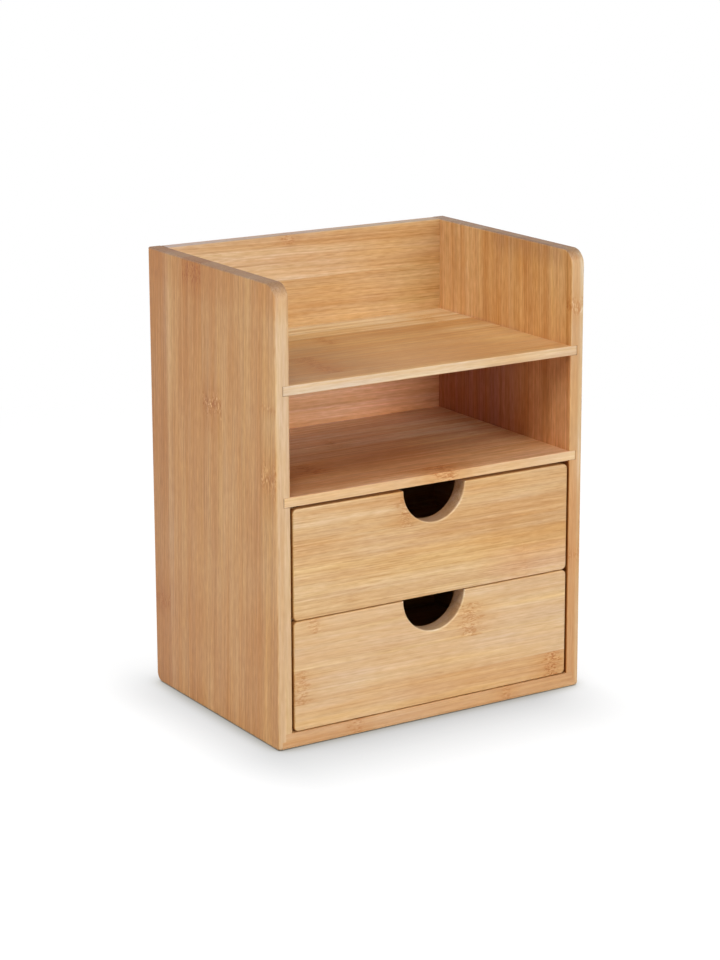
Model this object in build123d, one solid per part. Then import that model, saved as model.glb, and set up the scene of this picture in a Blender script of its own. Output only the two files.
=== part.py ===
from build123d import *
import os

# Bamboo desktop drawers: two sides, a back and a bottom carry two open shelves and two drawers.
# Millimetres, +Z up. The front faces -Y, and the origin is under the middle of the footprint.

# Carcass boards
width = 200.0
depth = 140.0
side_thickness = 8.6
back_thickness = 8.2
bottom_thickness = 8.8
shelf_thickness = 5.4

# Heights between the boards
compartment_height = 55.1
gallery_height = 54.1

# Carcass joints: the shelves sit in housings cut through to the front edge of each side,
# and the bottom sits in a stepped rebate whose lower step reaches nearly to the outer face
housing_depth = 4.2
housing_end_gap = 0.3
lower_step_height = 4.5
lower_step_wall = 2.3

# Rounded corners and sanded edges
gallery_corner_radius = 9.0
front_foot_radius = 2.0
rear_foot_radius = 5.5
outer_edge_radius = 1.3
inner_edge_radius = 0.9
shelf_edge_radius = 0.5

# Drawer fronts, inset and flush with the front edges of the sides
drawer_names = ["lower_drawer", "upper_drawer"]
front_height = 61.8
front_thickness = 9.5
front_side_gap = 1.2
gap_under_fronts = 0.35
gap_between_fronts = 0.5
gap_over_fronts = 1.7
front_corner_radius = 2.8
front_edge_radius = 1.0
finger_notch_radius = 20.0

# Drawer boxes, let into rebates at the ends of each front
box_side_gap = 1.6
box_wall = 5.5
box_top_clearance = 3.9
front_lip = 4.5
closed_gap = 0.3

# Drawer bottoms, slid from behind into grooves
box_floor_thickness = 3.0
groove_rise = 3.0
side_groove_depth = 2.7
front_groove_depth = 3.0
groove_side_gap = 0.2

# Runners that the drawer boxes slide on, glued and pinned to the sides: the lower pair lies
# on the bottom, and the boxes stop short of the pair above them
runner_width = 8.0
runner_height = 4.0
runner_setback = 1.0
running_gap = 0.3

# Dowels between the back and its neighbours
dowel_diameter = 4.0
dowel_length = 20.0
dowel_depth_in_side = 5.4
dowel_depth_in_bottom = 5.0
dowel_end_margin = 32.0
dowels_per_side = 3
bottom_dowel_offset = 60.0

# Brads
brad_diameter = 1.2
brad_length = 14.0
brad_head_diameter = 2.2
brad_head_height = 0.6
brad_end_margin = 11.0
runner_brad_margin = 15.0
floor_brad_spacing = 50.0

# Extra reach of a cutting block past the face that it opens
overcut = 1.0

# Planes worked out from the sizes above
front_y = -depth / 2
rear_y = depth / 2
back_face_y = rear_y - back_thickness
outer_x = width / 2
inner_x = outer_x - side_thickness
housing_x = inner_x + housing_depth
lower_step_x = outer_x - lower_step_wall
drawer_pitch = front_height + gap_between_fronts
first_front_z = bottom_thickness + gap_under_fronts
last_front_z = first_front_z + drawer_pitch * (len(drawer_names) - 1)
middle_shelf_z = last_front_z + front_height + gap_over_fronts
top_shelf_z = middle_shelf_z + shelf_thickness + compartment_height
height = top_shelf_z + shelf_thickness + gallery_height

# Drawer sizes and planes: a box starts above its runners and ends below the next pair
box_rise = runner_height + running_gap - gap_under_fronts
box_height = drawer_pitch - running_gap - runner_height - box_top_clearance
front_x = inner_x - front_side_gap
box_outer_x = inner_x - box_side_gap
box_inner_x = box_outer_x - box_wall
front_rear_y = front_y + front_thickness
lip_y = front_y + front_lip
box_rear_y = back_face_y - closed_gap
runner_front_y = front_rear_y + runner_setback


def block(x_ends, y_ends, z_ends):
    """A plain board between two corners."""
    centre = [sum(ends) / 2 for ends in (x_ends, y_ends, z_ends)]
    size = [abs(ends[1] - ends[0]) for ends in (x_ends, y_ends, z_ends)]
    return Pos(*centre) * Box(*size)


def edges_at(solid, axis, place):
    """The edges of a solid whose middles lie at one place along an axis."""
    return solid.edges().filter_by_position(axis, place, place)


def rod(start, direction, length, diameter):
    """A round bar from a point, along a direction."""
    return extrude(Plane(origin=start, z_dir=direction) * Circle(diameter / 2), length)


def brad(start, direction):
    """A small nail with its head flush at the start point."""
    head = rod(start, direction, brad_head_height, brad_head_diameter)
    return head + rod(start, direction, brad_length, brad_diameter)


def evenly(first, last, count):
    """Evenly spaced places from the first to the last."""
    return [first + (last - first) * n / (count - 1) for n in range(count)]


def profile(y_ends, z_ends, x_ends):
    """A board with its lower front and rear edges rounded as the carcass is."""
    outline = Pos(sum(y_ends) / 2, sum(z_ends) / 2) * Rectangle(
        y_ends[1] - y_ends[0], z_ends[1] - z_ends[0]
    )
    for end, radius in ((0, front_foot_radius), (-1, rear_foot_radius)):
        corner = outline.vertices().group_by(Axis.Y)[0].sort_by(Axis.X)[end]
        outline = fillet(corner, radius)
    plane = Plane(origin=(min(x_ends), 0, 0), x_dir=(0, 1, 0), z_dir=(1, 0, 0))
    return extrude(plane * outline, abs(x_ends[1] - x_ends[0]))


def back_dowels():
    """Dowels that join the back to both sides and to the bottom."""
    middle_y = back_face_y + back_thickness / 2
    first_z = bottom_thickness + dowel_end_margin
    last_z = height - dowel_end_margin
    dowels = []
    for side in (-1, 1):
        start_x = side * (inner_x + dowel_depth_in_side)
        for z in evenly(first_z, last_z, dowels_per_side):
            dowels.append(rod((start_x, middle_y, z), (-side, 0, 0), dowel_length, dowel_diameter))
        foot = (side * bottom_dowel_offset, middle_y, bottom_thickness - dowel_depth_in_bottom)
        dowels.append(rod(foot, (0, 0, 1), dowel_length, dowel_diameter))
    return dowels


def runner_brads():
    """Brads that pin every runner to its side."""
    brads = []
    for side in (-1, 1):
        for top in runner_tops():
            for y in (runner_front_y + runner_brad_margin, back_face_y - runner_brad_margin):
                start = (side * (inner_x - runner_width), y, top - runner_height / 2)
                brads.append(brad(start, (side, 0, 0)))
    return brads


def front_bases():
    """The height of the lower edge of each drawer front."""
    return [first_front_z + drawer_pitch * n for n in range(len(drawer_names))]


def runner_tops():
    """The height of the upper face of each pair of runners."""
    return [base + box_rise - running_gap for base in front_bases()]


def side_panel(side):
    """A side with its rounded corners, housings, stepped rebate and holes."""
    panel = profile((front_y, rear_y), (0, height), (side * inner_x, side * outer_x))
    top_edge = edges_at(edges_at(panel, Axis.Z, height), Axis.Y, front_y)
    panel = fillet(top_edge, gallery_corner_radius)
    panel = fillet(edges_at(panel, Axis.X, side * outer_x), outer_edge_radius)
    inner_edges = edges_at(panel, Axis.X, side * inner_x)
    hidden_edges = inner_edges.group_by(Axis.Z)[0] + edges_at(inner_edges, Axis.Y, rear_y)
    seen_edges = [edge for edge in inner_edges if edge not in hidden_edges]
    panel = fillet(seen_edges, inner_edge_radius)

    overcut_x = side * (inner_x - overcut)
    overcut_y = (front_y - overcut, rear_y + overcut)
    upper_step = block((overcut_x, side * housing_x), overcut_y, (0, bottom_thickness))
    lower_step = block((overcut_x, side * lower_step_x), overcut_y, (-overcut, lower_step_height))
    housings = [
        block(
            (overcut_x, side * housing_x),
            (front_y - overcut, back_face_y),
            (z, z + shelf_thickness),
        )
        for z in (middle_shelf_z, top_shelf_z)
    ]
    return panel.cut(upper_step, lower_step, *housings, *back_dowels(), *runner_brads())


def bottom_panel():
    """The bottom, with stepped ends that fit the rebates of the sides."""
    board = profile((front_y, rear_y), (0, bottom_thickness), (-lower_step_x, lower_step_x))
    end_z = (lower_step_height, bottom_thickness + overcut)
    steps = [
        block(
            (side * housing_x, side * (lower_step_x + overcut)),
            (front_y - overcut, rear_y + overcut),
            end_z,
        )
        for side in (-1, 1)
    ]
    return board.cut(*steps, *back_dowels())


def back_panel():
    """The back, between the sides and standing on the bottom."""
    panel = block((-inner_x, inner_x), (back_face_y, rear_y), (bottom_thickness, height))
    panel = fillet(edges_at(panel, Axis.Z, height).filter_by(Axis.X), inner_edge_radius)
    return panel.cut(*back_dowels())


def shelf(z):
    """A shelf with both ends in the housings, against the back."""
    end_x = housing_x - housing_end_gap
    board = block((-end_x, end_x), (front_y, back_face_y), (z, z + shelf_thickness))
    return fillet(edges_at(board, Axis.Y, front_y).filter_by(Axis.X), shelf_edge_radius)


def runner(side, top):
    """A strip along the inside of a side."""
    x_ends = (side * inner_x, side * (inner_x - runner_width))
    strip = block(x_ends, (runner_front_y, back_face_y), (top - runner_height, top))
    return strip.cut(*runner_brads())


def drawer_front(base):
    """A front with its finger notch, end rebates and groove for the drawer bottom."""
    top = base + front_height
    face = Pos(0, base + front_height / 2) * RectangleRounded(
        2 * front_x, front_height, front_corner_radius
    )
    face = face - Pos(0, top) * Circle(finger_notch_radius)
    plane = Plane(origin=(0, front_y, 0), x_dir=(1, 0, 0), z_dir=(0, -1, 0))
    board = extrude(plane * face, -front_thickness)
    board = fillet(edges_at(board, Axis.Y, front_y), front_edge_radius)

    rear_ends = (lip_y, front_rear_y + overcut)
    z_ends = (base - overcut, top + overcut)
    rebates = [
        block((side * box_inner_x, side * (front_x + overcut)), rear_ends, z_ends)
        for side in (-1, 1)
    ]
    groove = block(
        (-box_inner_x, box_inner_x),
        (front_rear_y - front_groove_depth, front_rear_y + overcut),
        floor_z_ends(base),
    )
    return board.cut(*rebates, groove, *drawer_brads(base))


def floor_z_ends(base):
    """The lower and upper faces of a drawer bottom."""
    floor_z = base + box_rise + groove_rise
    return floor_z, floor_z + box_floor_thickness


def drawer_side(base, side):
    """A long wall of a drawer box, grooved inside."""
    box_z = base + box_rise
    wall = block(
        (side * box_inner_x, side * box_outer_x),
        (lip_y, box_rear_y),
        (box_z, box_z + box_height),
    )
    groove = block(
        (side * (box_inner_x - overcut), side * (box_inner_x + side_groove_depth)),
        (lip_y - overcut, box_rear_y + overcut),
        floor_z_ends(base),
    )
    return wall.cut(groove, *drawer_brads(base))


def drawer_back(base):
    """The back of a drawer box, standing on the drawer bottom."""
    wall = block(
        (-box_inner_x, box_inner_x),
        (box_rear_y - box_wall, box_rear_y),
        (floor_z_ends(base)[1], base + box_rise + box_height),
    )
    return wall.cut(*drawer_brads(base))


def drawer_floor(base):
    """The thin bottom of a drawer box."""
    end_x = box_inner_x + side_groove_depth - groove_side_gap
    start_y = front_rear_y - front_groove_depth + groove_side_gap
    sheet = block((-end_x, end_x), (start_y, box_rear_y), floor_z_ends(base))
    return sheet.cut(*drawer_brads(base))


def drawer_brads(base):
    """Brads through the box sides into the front and the back, and up through the bottom."""
    box_z = base + box_rise
    heights = (box_z + brad_end_margin, box_z + box_height - brad_end_margin)
    rear_middle_y = box_rear_y - box_wall / 2
    brads = []
    for side in (-1, 1):
        for y in ((lip_y + front_rear_y) / 2, rear_middle_y):
            for z in heights:
                brads.append(brad((side * box_outer_x, y, z), (-side, 0, 0)))
    for x in (-floor_brad_spacing, 0, floor_brad_spacing):
        brads.append(brad((x, rear_middle_y, floor_z_ends(base)[0]), (0, 0, 1)))
    return brads


def drawer(name, base):
    """Every piece of one drawer, by its name."""
    return {
        f"{name}_front": drawer_front(base),
        f"{name}_left_side": drawer_side(base, -1),
        f"{name}_right_side": drawer_side(base, 1),
        f"{name}_back": drawer_back(base),
        f"{name}_bottom": drawer_floor(base),
        f"{name}_brads": Compound(children=drawer_brads(base)),
    }


def runners():
    """Two runners under each drawer, by their names."""
    pieces = {}
    for name, top in zip(drawer_names, runner_tops()):
        pieces[f"{name}_left_runner"] = runner(-1, top)
        pieces[f"{name}_right_runner"] = runner(1, top)
    return pieces


parts = {
    "left_side_panel": side_panel(-1),
    "right_side_panel": side_panel(1),
    "back_panel": back_panel(),
    "bottom_panel": bottom_panel(),
    "middle_shelf": shelf(middle_shelf_z),
    "top_shelf": shelf(top_shelf_z),
    "back_dowels": Compound(children=back_dowels()),
    "runner_brads": Compound(children=runner_brads()),
    **runners(),
}
for drawer_name, front_base in zip(drawer_names, front_bases()):
    parts.update(drawer(drawer_name, front_base))

os.makedirs("parts", exist_ok=True)
for node, piece in parts.items():
    export_step(piece, f"parts/{node}.step")
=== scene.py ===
"""Looks of the bamboo desktop drawers: board materials, soft studio light, pale floor and camera."""

from collections import namedtuple
from math import cos, log, radians, sin

import bpy
from mathutils import Matrix, Vector


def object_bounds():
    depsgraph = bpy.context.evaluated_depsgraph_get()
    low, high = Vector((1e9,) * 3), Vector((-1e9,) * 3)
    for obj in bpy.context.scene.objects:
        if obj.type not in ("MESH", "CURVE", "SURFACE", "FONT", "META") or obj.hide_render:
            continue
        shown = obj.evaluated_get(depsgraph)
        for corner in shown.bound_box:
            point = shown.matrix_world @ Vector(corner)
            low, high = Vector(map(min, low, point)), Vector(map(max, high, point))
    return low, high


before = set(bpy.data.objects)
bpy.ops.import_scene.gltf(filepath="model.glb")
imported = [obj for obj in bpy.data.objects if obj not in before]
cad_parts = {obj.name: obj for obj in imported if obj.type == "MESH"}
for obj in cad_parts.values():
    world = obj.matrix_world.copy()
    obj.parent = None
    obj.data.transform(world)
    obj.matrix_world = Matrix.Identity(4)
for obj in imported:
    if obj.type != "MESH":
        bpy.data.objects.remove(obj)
cad_box = [list(corner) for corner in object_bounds()]

MM = 0.001
PHOTO_HEIGHT = 960

# Camera: degrees, millimetres and photograph pixels
CAMERA_AZIMUTH = -32.148
CAMERA_ELEVATION = 13.161
CAMERA_ROLL = -0.189
CAMERA_PLACE = (-771.05, -1220.6, 505.49)
CAMERA_FOCAL_PIXELS = 2624.1
CAMERA_CENTRE_ROW = 400
SENSOR_WIDTH = 36.0

# Soft boxes: azimuth and elevation in degrees, disc and distance in metres, power in watts
SOFT_BOXES = {
    "front_soft_box": (10, 12, 1.0, 2.0, 22),
    "left_soft_box": (-80, 35, 1.0, 2.0, 13),
    "key_soft_box": (-38, 48, 0.7, 2.0, 9),
    "top_soft_box": (0, 86, 1.0, 2.0, 7),
    "rear_soft_box": (200, 40, 1.4, 2.4, 14),
    "right_soft_box": (100, 25, 1.4, 2.4, 9),
}
LIGHT_TARGET = (0.0, 0.0, 0.12)
AMBIENT = 0.06

# Floor, in metres: its lit colour, how the camera sees it, and its shade round and under the object
FLOOR_SIZE = 8.0
FLOOR_HEIGHT = -0.1 * MM
FLOOR_COLOUR = 0.9
FLOOR_LIT_SHARE = 0.1
FLOOR_GLOW = 0.975
SHADE_REACH = 0.066
SHADE_POWER = 1.2
SHADE_MARK = (-0.63, -0.62, -0.61)
SHADE_LEAST = 0.32
SHADE_REAR_FADE = (0.03, 0.10)
SHADE_RIGHT_FADE = (0.06, 0.124)
SHADE_RIGHT_LEAST = 0.12
SHADE_LEFT_FADE = (-0.124, -0.096)
FOOT_SHADE = 0.76
FOOT_SHADE_SIDE = 0.052
FOOT_SHADE_FRONT = 0.086
FOOT_SHADE_POWER = 1.5
# Painted contact shadow: a narrow dark line on the floor where the object meets it
CREVICE_REACH = 0.012
CREVICE_POWER = 2.0
CREVICE_MARK = (-0.36, -0.38, -0.46)
COVER_SAMPLES = 32
FLOOR_FADE = (0.3, 0.75)

# Colours of the boards, linear: faces, then the paler long edges and the greyer ends; the drawer fronts'
# ends are also darkened as painted shade of the gaps beside the drawers
LEFT_SIDE = (0.578, 0.297, 0.112)
LEFT_SIDE_EDGE = (0.58, 0.37, 0.196)
RIGHT_SIDE = (0.65, 0.35, 0.127)
RIGHT_SIDE_EDGE = (0.60, 0.345, 0.16)
BACK = (0.627, 0.39, 0.173)
BACK_EDGE = (0.41, 0.275, 0.178)
TOP_SHELF = (0.558, 0.30, 0.114)
TOP_SHELF_EDGE = (0.66, 0.475, 0.295)
MIDDLE_SHELF = (0.72, 0.39, 0.20)
MIDDLE_SHELF_EDGE = (0.68, 0.445, 0.235)
BOTTOM = (0.64, 0.36, 0.15)
BOTTOM_EDGE = (0.57, 0.328, 0.157)
UPPER_FRONT = (0.61, 0.388, 0.188)
LOWER_FRONT = (0.62, 0.40, 0.208)
FRONT_EDGE = (0.66, 0.38, 0.15)
BOX = (0.66, 0.44, 0.23)
BOX_EDGE = (0.66, 0.46, 0.27)
RUNNER = (0.56, 0.33, 0.15)
RUNNER_EDGE = (0.60, 0.38, 0.20)
END_GRAIN = (0.285, 0.17, 0.097)
# End grain of the drawer fronts, darkened and reddened as painted shade of the narrow gaps beside them
FRONT_END_AND_GAP_SHADE = (0.36, 0.16, 0.038)
NOTCH_WALL = (0.58, 0.365, 0.21)

# How a mark moves the logarithms of red, green and blue
FINE_MARK = (0.65, 1.0, 1.6)
BROAD_MARK = (0.40, 1.0, 1.9)
GOLDEN_MARK = (0.05, -0.04, -0.50)
HUE_MARK = (-0.08, 0.05, 0.55)
KNUCKLE_MARK = (-0.18, -0.40, -0.66)
FLECK_MARK = (0.16, 0.28, 0.46)
# The two rim marks are partly paler sanded wear and partly a painted highlight on rounded edges
RIM_WEAR_AND_HIGHLIGHT_MARK = (0.12, 0.24, 0.38)
NOTCH_RIM_WEAR_AND_HIGHLIGHT_MARK = (0.13, 0.26, 0.42)

# The grain: sizes across and along it in millimetres, strength, and its noise's seed, detail and roughness
Grain = namedtuple("Grain", "across along strength seed detail rough", defaults=(2.0, 0.5))
STREAKS = Grain(6.5, 260.0, 0.8, 1, 2.0, 0.6)
LINES = Grain(1.8, 170.0, 0.24, 2, 1.0)
FIBRES = Grain(0.7, 70.0, 0.52, 3)
SHORT_FIBRES = Grain(1.1, 7.0, 0.42, 8)
DASHES = Grain(0.5, 8.0, 0.10, 5, 0.0)
DARK_LINES = Grain(0.9, 120.0, 0.12, 6, 1.0)
HUES = Grain(2.6, 120.0, 0.6, 7, 1.0)
HUE_PATCHES = Grain(9.0, 38.0, 0.7, 10)
CLOUDS = Grain(22.0, 70.0, 0.4, 4, 1.0)
SWERVE = Grain(26.0, 130.0, 1.2, 9, 1.0)
RAGGED_KNUCKLES = Grain(2.2, 5.0, 1.6, 31)
KNUCKLE_SPECKS = Grain(1.0, 3.2, 0.6, 41, 2.0, 0.6)
END_SPECKS = Grain(0.6, 30.0, 1.0, 51)
# Patches of the rim marks' sanded wear and painted highlight
WEAR_AND_HIGHLIGHT = Grain(3.0, 12.0, 1.0, 61)

# How noise becomes marks: a low and a high value, and the amounts there where they aren't 0 and 1
DASH_STEP = (0.10, 0.22)
DARK_LINE_STEP = (0.06, 0.2)
GOLDEN_STEP = (0.0, 0.25)
DARK_SPECK_STEP = (0.45, 0.62)
PALE_SPECK_STEP = (0.34, 0.46, 1.0, 0.0)
END_STEP = (-0.15, 0.2, 0.85, 1.15)
WEAR_AND_HIGHLIGHT_STEP = (-0.2, 0.15, 0.5, 1.0)

# Strips, seams, knuckles, rims and notches: millimetres, strengths, and shares of a knuckle's length
STRIP_SLIDE = 700.0
SLIDE_SEED = 0.7
STRIP_CONTRAST = 0.06
UPRIGHT_STRIPS = (5.0, 20.0)
LEVEL_STRIPS = (0.0, 20.0)
SEAM_STEP = (0.1, 0.5)
SEAM_DEPTH = 0.07
GOLDEN_STREAKS = 0.4
STREAKY_STAINS_AND_SHADES = 1.2
KNUCKLE_BORDER = 0.6
KNUCKLE_CORE = (0.1, 0.7)
KNUCKLE_SURROUND = (0.3, 2.0)
KNUCKLE_SHADE = 0.11
DEPTH_BORDER = 2.0
EDGE_FINE = 0.75
CORNER_ENDS = 1.5
RIM = 1.2
NOTCH_RIM = 4.0
NOTCH_REACH = 21.0
NOTCH_BORDER = 0.5
PAST_THE_FACE = 5.0

# The surface: gloss, how grain and ends roughen it, and its relief in millimetres
FINISH_ROUGHNESS = 0.5
HIDDEN_ROUGHNESS = 0.6
GRAIN_ROUGHNESS = 0.35
END_ROUGHNESS = 0.15
SPECULAR = 0.4
RELIEF = 0.25
RELIEF_STRENGTH = 0.4
STEEL = (0.55, 0.55, 0.54)
STEEL_SCRATCH_SIZE = 0.2 * MM
STEEL_SEED = 5.0
STEEL_SCRATCH = 0.2
STEEL_ROUGHNESS = 0.28

# A knuckle: its place and length in millimetres, how dark and flecked it is, and how much an edge shows
Knuckle = namedtuple("Knuckle", "along across length dark pale on_edge", defaults=(1.0, 0.6, 1.0))
# A stain of the wood, or a stretch of painted light or shade: its limits in millimetres, its mark, how far
# they fade across and along, and its limits in depth
StainAndShade = namedtuple("StainAndShade", "along across tint soft fade through", defaults=(0.8, 26.0, None))


class Value:
    """A number that varies over a surface. Arithmetic on it adds Math nodes to its material."""

    def __init__(self, tree, socket):
        self.tree = tree
        self.socket = socket

    def math(self, operation, *others):
        node = self.tree.nodes.new("ShaderNodeMath")
        node.operation = operation
        for port, value in zip(node.inputs, (self, *others)):
            plug(self.tree, value, port)
        return Value(self.tree, node.outputs[0])

    def __add__(self, other):
        return self.math("ADD", other)

    def __sub__(self, other):
        return self.math("SUBTRACT", other)

    def __mul__(self, other):
        return self.math("MULTIPLY", other)

    def __truediv__(self, other):
        return self.math("DIVIDE", other)

    def size(self):
        return self.math("ABSOLUTE")

    def most(self, other):
        return self.math("MAXIMUM", other)

    def ramp(self, low, high, start=0.0, end=1.0):
        """A smooth step from start, at low and below, to end, at high and above."""
        node = self.tree.nodes.new("ShaderNodeMapRange")
        node.interpolation_type = "SMOOTHSTEP"
        for port, value in zip(node.inputs, (self, low, high, start, end)):
            plug(self.tree, value, port)
        return Value(self.tree, node.outputs["Result"])


def plug(tree, value, port):
    """Links a Value to a socket, or sets the socket to a plain number."""
    if isinstance(value, Value):
        tree.links.new(value.socket, port)
    else:
        port.default_value = value


def join(tree, x, y, z):
    """Three Values as one vector socket."""
    node = tree.nodes.new("ShaderNodeCombineXYZ")
    for port, value in zip(node.inputs, (x, y, z)):
        plug(tree, value, port)
    return node.outputs[0]


def split(tree, socket):
    """The three parts of a vector socket as Values."""
    node = tree.nodes.new("ShaderNodeSeparateXYZ")
    tree.links.new(socket, node.inputs[0])
    return [Value(tree, port) for port in node.outputs]


def noise(tree, point, seed, detail=2.0, roughness=0.5, distortion=0.0):
    """Smooth noise about 0.5, with one feature to each unit of the point."""
    node = tree.nodes.new("ShaderNodeTexNoise")
    node.noise_dimensions = "4D"
    node.inputs["W"].default_value = seed
    node.inputs["Scale"].default_value = 1.0
    node.inputs["Detail"].default_value = detail
    node.inputs["Roughness"].default_value = roughness
    node.inputs["Distortion"].default_value = distortion
    tree.links.new(point, node.inputs["Vector"])
    return Value(tree, node.outputs["Fac"])


def chance(index, seed):
    """A fixed random number from 0 to 1 for each whole number."""
    tree = index.tree
    node = tree.nodes.new("ShaderNodeTexWhiteNoise")
    node.noise_dimensions = "1D"
    plug(tree, index + seed, node.inputs["W"])
    return Value(tree, node.outputs["Value"])


def paint(tree, colour, marks):
    """A colour whose logarithms are moved by marks, each a Value and its share of red, green and blue."""
    total = None
    for amount, share in marks:
        node = tree.nodes.new("ShaderNodeVectorMath")
        node.operation = "MULTIPLY_ADD"
        tree.links.new(amount.socket, node.inputs[0])
        node.inputs[1].default_value = share
        if total is None:
            node.inputs[2].default_value = [log(part) for part in colour]
        else:
            tree.links.new(total, node.inputs[2])
        total = node.outputs[0]
    mixed = tree.nodes.new("ShaderNodeCombineColor")
    for part, port in zip(split(tree, total), mixed.inputs):
        plug(tree, part.math("EXPONENT"), port)
    return mixed.outputs["Color"]


def towards_colour(colour, other):
    """The mark that turns one colour into another."""
    return [log(b / a) for a, b in zip(colour, other)]


def new_material(name):
    material = bpy.data.materials.new(name)
    material.use_nodes = True
    return material, material.node_tree, material.node_tree.nodes["Principled BSDF"]


class Board:
    """The grain of one board, in millimetres along it, across its strips and through it."""

    def __init__(self, name, grain, across, strips, seed, lean):
        self.seed = seed
        self.seam, self.pitch = strips
        self.material, self.tree, self.shader = new_material(name)
        through = ({"X", "Y", "Z"} - {grain, across}).pop()
        place = self.tree.nodes.new("ShaderNodeTexCoord").outputs["Object"]
        facing = self.tree.nodes.new("ShaderNodeNewGeometry").outputs["Normal"]
        places = dict(zip("XYZ", split(self.tree, place)))
        facings = dict(zip("XYZ", split(self.tree, facing)))
        self.along, self.across, self.through = (places[axis] / MM for axis in (grain, across, through))
        self.end_facing = facings[grain] * facings[grain]
        self.edge_facing = facings[across] * facings[across]
        self.face_facing = facings[through] * facings[through]
        counted = (self.across - self.seam) / self.pitch
        self.strip = counted.math("FLOOR")
        self.from_seam = ((counted.math("FRACT") - 0.5).size() - 0.5).size() * self.pitch
        self.fibre_along = self.along + chance(self.strip, seed + SLIDE_SEED) * STRIP_SLIDE
        self.fibre_across = self.across + self.noise(SWERVE) * SWERVE.strength - self.along * lean

    def noise(self, kind):
        """Noise about 0 that runs on across the strips."""
        return self.fibre_noise(kind, self.along, self.across)

    def grain(self, kind):
        """Noise about 0, drawn out along the fibres, which swerve a little and start anew in each strip."""
        return self.fibre_noise(kind, self.fibre_along, self.fibre_across)

    def fibre_noise(self, kind, along, across):
        point = join(self.tree, along / kind.along, across / kind.across, self.through / kind.across)
        return noise(self.tree, point, self.seed + kind.seed, kind.detail, kind.rough) - 0.5

    def between(self, value, limits, soft):
        """1 between two limits and 0 outside them, with soft borders."""
        low, high = limits
        middle = (low + high) / 2
        reach = (high - low) / 2
        return (value - middle).size().ramp(reach - soft / 2, reach + soft / 2, 1.0, 0.0)


def knuckle_amounts(board, knuckles):
    """How dark, how flecked and how stained the wood is by knuckles. Each fills the width of a strip."""
    ragged = board.noise(RAGGED_KNUCKLES) * RAGGED_KNUCKLES.strength
    most = [None, None, None]
    for along, across, length, dark, pale, on_edge in knuckles:
        first = board.seam + board.pitch * ((across - board.seam) // board.pitch)
        inside = board.between(board.across, (first, first + board.pitch), KNUCKLE_BORDER)
        inside = inside * (board.edge_facing * (on_edge - 1.0) + 1.0)
        reach = (board.along - along).size() + ragged * length
        near = reach.ramp(*(length * share for share in KNUCKLE_CORE)) * -1.0 + 1.0
        about = reach.ramp(*(length * share for share in KNUCKLE_SURROUND), dark, 0.0)
        amounts = (near * inside * dark, near * inside * pale, about * inside)
        most = [new if old is None else old.most(new) for old, new in zip(most, amounts)]
    return most


def knuckle_marks(board, knuckles):
    """The marks of knuckles: dark and pale flecks in them, and shaded wood about them."""
    dark, pale, stained = knuckle_amounts(board, knuckles)
    along, across = KNUCKLE_SPECKS.along, KNUCKLE_SPECKS.across
    point = join(board.tree, board.along / along, board.fibre_across / across, board.through / across)
    seed = board.seed + KNUCKLE_SPECKS.seed
    specks = noise(board.tree, point, seed, KNUCKLE_SPECKS.detail, KNUCKLE_SPECKS.rough, distortion=1.0)
    marks = [
        (dark * specks.ramp(*DARK_SPECK_STEP), KNUCKLE_MARK),
        (pale * specks.ramp(*PALE_SPECK_STEP), FLECK_MARK),
    ]
    return marks, stained, dark * specks * KNUCKLE_SPECKS.strength


def stain_and_shade_marks(board, stains, patchy):
    """Stretches of wood of another colour: stains, and in some places painted light and shade. They fade
    out along the grain, and across it where soft.
    """
    marks = []
    for stain in stains:
        middle = board.between(board.across, stain.across, stain.soft)
        ends = board.between(board.along, stain.along, stain.fade)
        amount = middle * ends * patchy
        if stain.through:
            amount = amount * board.between(board.through, stain.through, DEPTH_BORDER)
        marks.append((amount, stain.tint))
    return marks


def shade(tone):
    """The tint of wood that is darker or paler in the way that strips differ."""
    return [part * tone for part in BROAD_MARK]


def thin_grain(board):
    """The fine lines of the wood: fibres, dashes and seams, above 0 where pale."""
    lines = board.grain(LINES) * LINES.strength
    fibres = board.grain(FIBRES) * FIBRES.strength
    short_fibres = board.grain(SHORT_FIBRES) * SHORT_FIBRES.strength
    dashes = board.grain(DASHES).ramp(*DASH_STEP) * DASHES.strength
    dark_lines = board.grain(DARK_LINES).ramp(*DARK_LINE_STEP) * DARK_LINES.strength
    seams = board.from_seam.ramp(*SEAM_STEP, -SEAM_DEPTH, 0.0)
    return lines + fibres + short_fibres - dashes - dark_lines + seams


def wide_grain(board, streaks):
    """The broad changes of tone: streaks, clouds and the strips themselves."""
    strip_tone = (chance(board.strip, board.seed) - 0.5) * STRIP_CONTRAST
    return streaks * STREAKS.strength + board.noise(CLOUDS) * CLOUDS.strength + strip_tone


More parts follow.
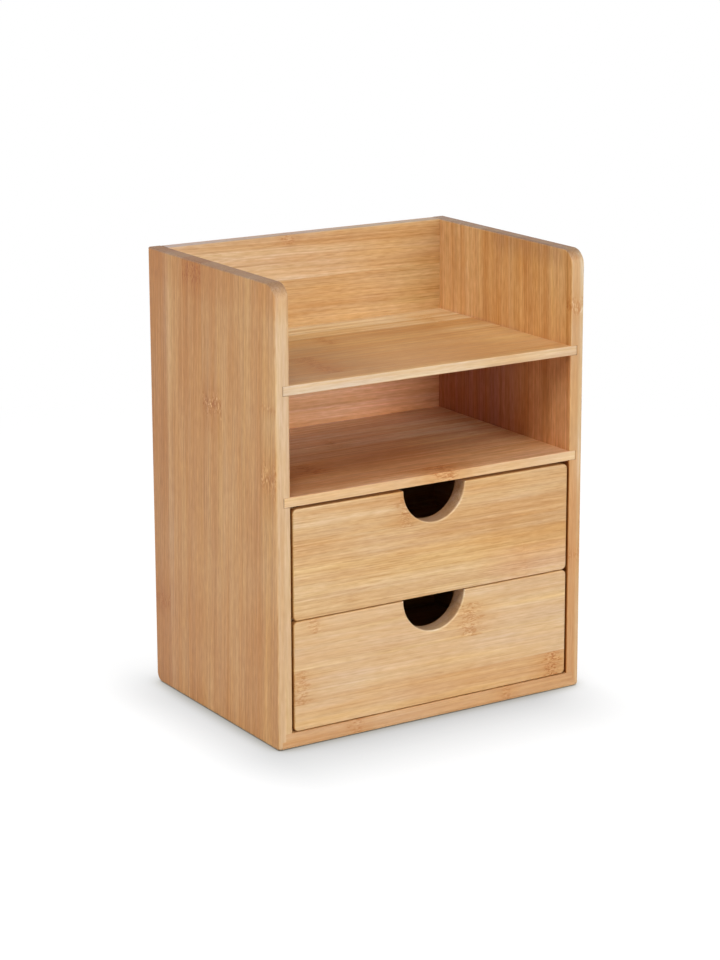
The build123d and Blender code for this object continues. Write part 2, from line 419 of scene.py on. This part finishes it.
def rim_marks(board, colour, edge, end, notch_top):
    """The marks of long edges, ends, pale rims that are partly sanded wear and partly a painted highlight,
    and, below notch_top, the wall of a finger notch.
    """
    marks = []
    ends = board.end_facing * board.grain(END_SPECKS).ramp(*END_STEP)
    edges = board.edge_facing
    if notch_top:
        reach = (notch_top - NOTCH_REACH, notch_top + PAST_THE_FACE)
        near = board.between(board.along, (-NOTCH_REACH, NOTCH_REACH), NOTCH_BORDER)
        near = near * board.between(board.across, reach, NOTCH_BORDER)
        wall = near * (board.face_facing * -1.0 + 1.0)
        beside = wall * -1.0 + 1.0
        ends = ends * beside
        edges = edges * beside
        # The notch's rounded rim: sanded wear and a painted highlight
        rim = board.face_facing * (board.face_facing * -1.0 + 1.0) * NOTCH_RIM
        marks.append((wall, towards_colour(colour, NOTCH_WALL)))
        marks.append((rim * near, NOTCH_RIM_WEAR_AND_HIGHLIGHT_MARK))
    else:
        ends = ends * (board.face_facing * CORNER_ENDS + 1.0)
        rim = board.face_facing * edges * RIM
    marks.append((ends, towards_colour(colour, end)))
    marks.append((edges, towards_colour(colour, edge)))
    # Rounded edges: paler sanded wear and a painted highlight
    marks.append((rim * board.noise(WEAR_AND_HIGHLIGHT).ramp(*WEAR_AND_HIGHLIGHT_STEP), RIM_WEAR_AND_HIGHLIGHT_MARK))
    return marks


def finish_surface(board, thin, height, gloss):
    """The sheen of the finished wood, duller on the ends, and the relief of its grain."""
    rough = thin * GRAIN_ROUGHNESS + board.end_facing * END_ROUGHNESS + gloss
    plug(board.tree, rough, board.shader.inputs["Roughness"])
    board.shader.inputs["Specular IOR Level"].default_value = SPECULAR
    bump = board.tree.nodes.new("ShaderNodeBump")
    bump.inputs["Strength"].default_value = RELIEF_STRENGTH
    bump.inputs["Distance"].default_value = RELIEF * MM
    plug(board.tree, height, bump.inputs["Height"])
    board.tree.links.new(bump.outputs["Normal"], board.shader.inputs["Normal"])


def bamboo(
    name, grain, across, colour, edge, strips, seed,
    knuckles=(), stains=(), fine=1.0, broad=1.0, lean=0.0, end=END_GRAIN, notch_top=None,
    gloss=FINISH_ROUGHNESS,
):
    """Flat-pressed bamboo: strips of differing tone, with fibres, knuckles, ends, stains, rims of sanded
    wear with a painted highlight, and painted light and shade in some places.
    """
    board = Board(name, grain, across, strips, seed, lean)
    streaks = board.grain(STREAKS)
    thin = thin_grain(board)
    wide = wide_grain(board, streaks)
    height = thin
    hues = board.grain(HUES) * HUES.strength + board.noise(HUE_PATCHES) * HUE_PATCHES.strength
    contrast = board.edge_facing * (EDGE_FINE - fine) + fine
    marks = [(thin * contrast, FINE_MARK), (hues, HUE_MARK)]
    marks += stain_and_shade_marks(board, stains, streaks * STREAKY_STAINS_AND_SHADES + 1.0)
    if knuckles:
        flecks, stained, pits = knuckle_marks(board, knuckles)
        marks += flecks
        wide = wide - stained * KNUCKLE_SHADE
        height = height - pits
    marks.append((wide * broad, BROAD_MARK))
    marks.append((streaks.ramp(*GOLDEN_STEP) * GOLDEN_STREAKS, GOLDEN_MARK))
    marks += rim_marks(board, colour, edge, end, notch_top)
    board.tree.links.new(paint(board.tree, colour, marks), board.shader.inputs["Base Color"])
    finish_surface(board, thin, height, gloss)
    return board.material


def dress(node, material):
    """Gives a CAD piece its material."""
    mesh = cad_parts[node].data
    mesh.materials.clear()
    mesh.materials.append(material)


def dress_board(node, *look, **marks):
    dress(node, bamboo(node, *look, **marks))


def dress_sides():
    dress_board(
        "left_side_panel", "Z", "Y", LEFT_SIDE, LEFT_SIDE_EDGE, strips=(9.0, 21.0), seed=21.9,
        knuckles=[
            Knuckle(178.5, 0, 12, 1.3, 3.0),
            Knuckle(150, -62, 14, 1.1, 1.8, 0.0),
            Knuckle(188, -62, 4, 0.5, 1.2, 0.0),
            Knuckle(248, 20, 13, 1.3, 0.3),
            Knuckle(52, 64, 9, 0.9, 0.3),
        ],
        stains=[
            StainAndShade((-20, 280), (52, 80), (-0.13, -0.25, -0.36), 9.0),
            StainAndShade((-20, 280), (45, 53), (-0.04, -0.06, 0.02), 3.0),
            StainAndShade((-20, 280), (30, 51), shade(0.07), 0.5),
            StainAndShade((-20, 280), (9, 30), shade(-0.11), 0.5),
            StainAndShade((200, 280), (9, 30), shade(-0.06), 0.5),
            StainAndShade((110, 240), (-12, 9), shade(0.06), 0.5),
            StainAndShade((-20, 280), (-33, -12), shade(0.06), 0.5),
            StainAndShade((-20, 280), (-54, -33), shade(-0.03), 0.5),
            StainAndShade((160, 240), (-76, -54), shade(0.06), 0.5),
            StainAndShade((238, 280), (-80, 80), shade(-0.10), 0.5, 16.0),
            # Painted shade: the left side darker towards its foot
            StainAndShade((-30, 70), (-69, 80), shade(-0.05), 0.5, 40.0),
        ],
        fine=1.55, broad=1.05, lean=-0.035,
    )
    dress_board(
        "right_side_panel", "Z", "Y", RIGHT_SIDE, RIGHT_SIDE_EDGE, strips=(-2.0, 21.0), seed=29.2,
        knuckles=[
            Knuckle(223, -67, 9, 1.0, 1.4),
            Knuckle(79, -67, 7, 0.8),
            Knuckle(96, 10, 10, 0.9),
            Knuckle(41, -30, 9, 0.9),
            Knuckle(119, 40, 10, 0.9),
        ],
        stains=[
            StainAndShade((195, 290), (19, 80), (0.04, 0.12, 0.28), 6.0),
            StainAndShade((230, 290), (-31, -17), (-0.05, -0.12, -0.2), 5.0),
            # Painted light on the inner face within the middle compartment
            StainAndShade((130, 200), (-69.5, 62), (0.14, 0.08, 0.28), 0.6, 6.0, (80, 93)),
            # Painted shade, darker towards the back of the middle compartment
            StainAndShade((130, 200), (-15, 62), (-0.36, -0.46, -0.02), 44.0, 6.0, (80, 93)),
            # Painted shadow under the shelf above the middle compartment
            StainAndShade((180, 200), (-69.5, 0), (-0.14, -0.22, -0.26), 3.0, 12.0, (80, 93)),
            # Darker near the top of the inner face, up to its inner rim
            StainAndShade((246, 290), (-62, 10), (-0.16, -0.18, -0.10), 16.0, 14.0, (80, 93.5)),
            # Painted highlight along the outer rounded front edge
            StainAndShade((-20, 290), (-75, -66), (0.09, 0.32, 0.62), 4.0, 26.0, (96.9, 103.0)),
            # Painted shade on the inner face in the narrow gap beside the drawers
            StainAndShade((-20, 134), (-69.7, -66), (-0.6, -1.1, -2.0), 0.5, 6.0, (86.0, 92.6)),
            StainAndShade((140, 290), (-75, -69.4), (-0.06, -0.02, 0.0), 0.6),
            StainAndShade((-20, 120), (-75, -69.4), (-0.09, -0.20, -0.36), 0.6),
            StainAndShade((-20, 290), (-62, 80), (0.0, -0.06, -0.02), 1.0, 26.0, (97, 105)),
        ],
        fine=1.7, broad=0.85, lean=0.02,
    )


def dress_back_and_bottom():
    dress_board(
        "back_panel", "X", "Z", BACK, BACK_EDGE, strips=(228.4, 21.0), seed=41.0,
        knuckles=[
            Knuckle(-13, 253, 10, 0.9, 0.5),
            Knuckle(30, 61, 10, 0.9),
            Knuckle(-50, 111, 10, 0.9),
            Knuckle(-70, 31, 9, 0.8),
        ],
        stains=[
            StainAndShade((-140, 30), (228.4, 260), (0.04, 0.11, 0.32), 0.8, 60.0),
            StainAndShade((60, 140), (206, 233), (0.05, 0.14, 0.20), 6.0),
            StainAndShade((-20, 75), (222, 228.6), (-0.05, -0.09, -0.16), 2.0),
            StainAndShade((-10, 50), (207, 214), (-0.05, -0.09, -0.14), 3.0),
            # Painted light on the back inside the middle compartment
            StainAndShade((-140, 140), (130, 198), (0.26, 0.18, 0.38), 4.0, 26.0, (50, 64)),
            # Painted shade: the right part of the middle compartment's back darker and redder
            StainAndShade((35, 140), (130, 198), (-0.05, -0.22, -0.34), 4.0, 60.0, (50, 64)),
            StainAndShade((-140, 140), (-20, 290), (0.02, -0.12, -0.20), 0.5, 26.0, (67, 80)),
        ],
        fine=1.35, broad=1.0, lean=-0.02,
    )
    dress_board(
        "bottom_panel", "X", "Y", BOTTOM, BOTTOM_EDGE, strips=(-52.0, 21.0), seed=47.0,
        knuckles=[Knuckle(-50, -62, 9, 0.9), Knuckle(49.5, -62, 7, 0.9), Knuckle(10, 0, 10, 0.9)],
    )


def dress_shelves():
    dress_board(
        "top_shelf", "X", "Y", TOP_SHELF, TOP_SHELF_EDGE, strips=(27.6, 21.0), seed=48.8,
        knuckles=[
            Knuckle(-16, 17, 6, 0.8),
            Knuckle(-52, -25, 9, 1.5),
            Knuckle(-54, -46, 9, 1.4),
            Knuckle(68, 33, 7, 0.8),
        ],
        stains=[
            # A paler rear strip, partly the wood's own tone and partly painted sheen reflecting the back
            StainAndShade((-140, 140), (27.6, 80), (0.25, 0.53, 0.90), 1.0),
            # Painted light on the right of the top shelf
            StainAndShade((60, 140), (-40, 27.6), (0.06, 0.14, 0.20), 4.0),
            StainAndShade((-20, 60), (-62, 27.6), (-0.04, -0.09, -0.15), 4.0, 40.0),
            # Painted shadow of the left side on the top shelf
            StainAndShade((-140, -20), (-68, 8), (-0.22, -0.28, -0.30), 10.0, 40.0),
            StainAndShade((40, 140), (-75, -69.4), (-0.10, -0.22, -0.34), 0.6, 30.0),
        ],
        fine=1.5, broad=1.15,
    )
    dress_board(
        "middle_shelf", "X", "Y", MIDDLE_SHELF, MIDDLE_SHELF_EDGE, strips=(27.6, 21.0), seed=54.9,
        knuckles=[Knuckle(-12, 17, 9, 0.8), Knuckle(-54, -25, 12, 1.5), Knuckle(8, -63, 14, 1.6, 0.8)],
        stains=[
            StainAndShade((-140, 140), (-8, 80), (0.06, 0.27, 0.52), 16.0),
            # Painted shadow of the left side on the middle shelf
            StainAndShade((-140, 0), (-52, -24), (-0.14, -0.20, -0.28), 14.0, 40.0),
            StainAndShade((-140, 140), (-62, -30), (0.02, -0.05, -0.16), 12.0),
            # Painted light on the right of the middle shelf
            StainAndShade((25, 140), (-62, 30), (0.08, 0.18, 0.18), 12.0, 40.0),
        ],
        fine=1.7, broad=1.2,
    )


def dress_fronts():
    dress_board(
        "upper_drawer_front", "X", "Z", UPPER_FRONT, FRONT_EDGE, strips=(92.2, 20.6), seed=48.5,
        knuckles=[Knuckle(-18, 120, 9, 1.0, 1.2), Knuckle(61, 78, 6, 0.3, 0.1)],
        stains=[
            StainAndShade((-50, 140), (86, 100), (0.0, -0.06, -0.24), 5.0, 50.0),
            StainAndShade((-140, -25), (113, 140), (0.02, 0.05, 0.12), 1.0, 40.0),
            StainAndShade((-140, 140), (76, 81), (-0.03, -0.06, -0.09), 2.0),
            StainAndShade((40, 140), (68, 90), (0.03, 0.0, 0.08), 4.0, 30.0),
        ],
        fine=1.3, broad=1.15, lean=-0.012, end=FRONT_END_AND_GAP_SHADE, notch_top=133.25,
    )
    dress_board(
        "lower_drawer_front", "X", "Z", LOWER_FRONT, FRONT_EDGE, strips=(23.7, 19.4), seed=58.2,
        knuckles=[
            Knuckle(24.7, 53, 13, 1.1, 0.6),
            Knuckle(-86, 33, 9, 0.9, 0.7),
            Knuckle(80.5, 16, 10, 2.0, 0.5),
            Knuckle(-77, 68, 7, 0.7, 0.4),
        ],
        stains=[
            StainAndShade((-20, 140), (4, 23.7), shade(-0.14), 0.4),
            StainAndShade((-50, 90), (43, 48), (-0.04, -0.07, -0.11), 2.0),
            StainAndShade((-75, -30), (13, 19), (-0.04, -0.07, -0.11), 2.0),
        ],
        fine=0.97, broad=0.8, lean=-0.015, end=FRONT_END_AND_GAP_SHADE, notch_top=70.95,
    )


def dress_hidden(node, *look):
    """Gives a board inside the drawers a duller finish."""
    dress_board(node, *look, gloss=HIDDEN_ROUGHNESS)


def dress_box(drawer, seed):
    """The drawer's box and its runners, which nobody sees until it opens."""
    for side, shift in (("left", 1.0), ("right", 2.0)):
        dress_hidden(f"{drawer}_{side}_side", "Y", "Z", BOX, BOX_EDGE, UPRIGHT_STRIPS, seed + shift)
        runner = f"{drawer}_{side}_runner"
        dress_hidden(runner, "Y", "Z", RUNNER, RUNNER_EDGE, UPRIGHT_STRIPS, seed + shift + 5)
    dress_hidden(f"{drawer}_back", "X", "Z", BOX, BOX_EDGE, UPRIGHT_STRIPS, seed + 3)
    dress_hidden(f"{drawer}_bottom", "X", "Y", BOX, BOX_EDGE, LEVEL_STRIPS, seed + 4)


def steel():
    """Drawn wire, faintly scratched."""
    material, tree, shader = new_material("brad_steel")
    place = tree.nodes.new("ShaderNodeTexCoord").outputs["Object"]
    x, y, z = (part / STEEL_SCRATCH_SIZE for part in split(tree, place))
    scratches = noise(tree, join(tree, x, y, z), STEEL_SEED)
    scratched = paint(tree, STEEL, [(scratches - 0.5, (1.0, 1.0, 1.0))])
    tree.links.new(scratched, shader.inputs["Base Color"])
    shader.inputs["Metallic"].default_value = 1.0
    plug(tree, scratches * STEEL_SCRATCH + STEEL_ROUGHNESS, shader.inputs["Roughness"])
    return material


def dress_fixings():
    metal = steel()
    for node in ("runner_brads", "lower_drawer_brads", "upper_drawer_brads"):
        dress(node, metal)
    dress_hidden("back_dowels", "X", "Z", RUNNER, RUNNER_EDGE, LEVEL_STRIPS, 77.0)


def seen_plainly(tree):
    """1 for the camera's rays, mirror rays and rays through glass, else 0."""
    path = tree.nodes.new("ShaderNodeLightPath")
    camera, glossy, through = (
        Value(tree, path.outputs[name])
        for name in ("Is Camera Ray", "Is Glossy Ray", "Is Transmission Ray")
    )
    return camera.most(glossy).most(through)


def make_world():
    world = bpy.data.worlds.new("studio")
    bpy.context.scene.world = world
    world.use_nodes = True
    tree = world.node_tree
    strength = seen_plainly(tree).ramp(0.0, 1.0, AMBIENT, 1.0)
    plug(tree, strength, tree.nodes["Background"].inputs["Strength"])
    tree.nodes["Background"].inputs["Color"].default_value = (1.0, 1.0, 1.0, 1.0)


def covered(tree, reach, power):
    """How much of the sky the object hides from the floor within a reach, 1 at the foot of a wall."""
    node = tree.nodes.new("ShaderNodeAmbientOcclusion")
    node.samples = COVER_SAMPLES
    node.inputs["Distance"].default_value = reach
    return (Value(tree, node.outputs["AO"]) * -2.0 + 2.0).most(0.0).math("POWER", power)


def foot_shade(x, y):
    """A soft shade round the closed object, deepest at its sides and gone within a spread of them."""
    _, (half_width, half_depth, _) = cad_box
    side = (x.size() - half_width).most(0.0) / FOOT_SHADE_SIDE
    front = (y.size() - half_depth).most(0.0) / FOOT_SHADE_FRONT
    distance = (side * side + front * front).math("SQRT")
    return (distance * -1.0 + 1.0).most(0.0).math("POWER", FOOT_SHADE_POWER) * FOOT_SHADE


def floor_glow(tree):
    """The floor's own light: nearly white, with a painted soft shadow round the object and a painted dark
    contact shadow where the object meets it.
    """
    x, y, _ = split(tree, tree.nodes.new("ShaderNodeTexCoord").outputs["Object"])
    not_rear = y.ramp(*SHADE_REAR_FADE, 1.0, SHADE_LEAST)
    not_right = x.ramp(*SHADE_RIGHT_FADE, 1.0, SHADE_RIGHT_LEAST)
    not_left = x.ramp(*SHADE_LEFT_FADE, SHADE_LEAST, 1.0)
    under = covered(tree, SHADE_REACH, SHADE_POWER) * not_left
    marks = [
        (under.most(foot_shade(x, y)) * not_rear * not_right, SHADE_MARK),
        (covered(tree, CREVICE_REACH, CREVICE_POWER), CREVICE_MARK),
    ]
    return paint(tree, (FLOOR_GLOW, FLOOR_GLOW, FLOOR_GLOW), marks)


def make_floor():
    """A pale floor that keeps the object's shadow and fades to plain white further out."""
    bpy.ops.mesh.primitive_plane_add(size=FLOOR_SIZE, location=(0, 0, FLOOR_HEIGHT))
    floor = bpy.context.object
    floor.name = "floor"
    material = bpy.data.materials.new("floor")
    material.use_nodes = True
    tree = material.node_tree
    tree.nodes.clear()

    def shader(kind, colour):
        node = tree.nodes.new(kind)
        node.inputs["Color"].default_value = (colour, colour, colour, 1.0)
        return node

    def mix(amount, under, over):
        node = tree.nodes.new("ShaderNodeMixShader")
        plug(tree, amount, node.inputs[0])
        tree.links.new(under.outputs[0], node.inputs[1])
        tree.links.new(over.outputs[0], node.inputs[2])
        return node

    lit = shader("ShaderNodeBsdfDiffuse", FLOOR_COLOUR)
    glow = shader("ShaderNodeEmission", 1.0)
    tree.links.new(floor_glow(tree), glow.inputs["Color"])
    shown = tree.nodes.new("ShaderNodeAddShader")
    tree.links.new(shader("ShaderNodeBsdfDiffuse", FLOOR_LIT_SHARE).outputs[0], shown.inputs[0])
    tree.links.new(glow.outputs[0], shown.inputs[1])
    x, y, _ = split(tree, tree.nodes.new("ShaderNodeTexCoord").outputs["Object"])
    reach = (x * x + y * y).math("SQRT")
    faded = mix(reach.ramp(*FLOOR_FADE), shown, shader("ShaderNodeEmission", 1.0))
    output = tree.nodes.new("ShaderNodeOutputMaterial")
    tree.links.new(mix(seen_plainly(tree), lit, faded).outputs[0], output.inputs["Surface"])
    floor.data.materials.append(material)


def towards(azimuth, elevation):
    """The direction out from the object: azimuth 0 is the front, -90 the left."""
    a, e = radians(azimuth), radians(elevation)
    return Vector((sin(a) * cos(e), -cos(a) * cos(e), sin(e)))


def make_lights():
    for name, (azimuth, elevation, size, distance, power) in SOFT_BOXES.items():
        light = bpy.data.lights.new(name, "AREA")
        light.shape = "DISK"
        light.size = size
        light.energy = power
        lamp = bpy.data.objects.new(name, light)
        bpy.context.scene.collection.objects.link(lamp)
        out = towards(azimuth, elevation)
        lamp.location = Vector(LIGHT_TARGET) + out * distance
        lamp.rotation_mode = "QUATERNION"
        lamp.rotation_quaternion = out.to_track_quat("Z", "Y")


def make_camera():
    """The photograph's camera."""
    out = towards(CAMERA_AZIMUTH, CAMERA_ELEVATION)
    level = Vector((0, 0, 1)).cross(out).normalized()
    upright = out.cross(level)
    roll = radians(CAMERA_ROLL)
    right = level * cos(roll) + upright * sin(roll)
    up = upright * cos(roll) - level * sin(roll)
    data = bpy.data.cameras.new("camera")
    data.sensor_width = SENSOR_WIDTH
    data.lens = CAMERA_FOCAL_PIXELS * SENSOR_WIDTH / PHOTO_HEIGHT
    data.shift_y = (CAMERA_CENTRE_ROW - PHOTO_HEIGHT / 2) / PHOTO_HEIGHT
    camera = bpy.data.objects.new("camera", data)
    bpy.context.scene.collection.objects.link(camera)
    turn = Matrix((right, up, out)).transposed().to_4x4()
    camera.matrix_world = Matrix.Translation(Vector(CAMERA_PLACE) * MM) @ turn
    bpy.context.scene.camera = camera


bpy.context.scene.view_settings.view_transform = "Standard"
make_camera()
make_world()
make_lights()
make_floor()
dress_sides()
dress_back_and_bottom()
dress_shelves()
dress_fronts()
dress_box("lower_drawer", 61.0)
dress_box("upper_drawer", 83.0)
dress_fixings()
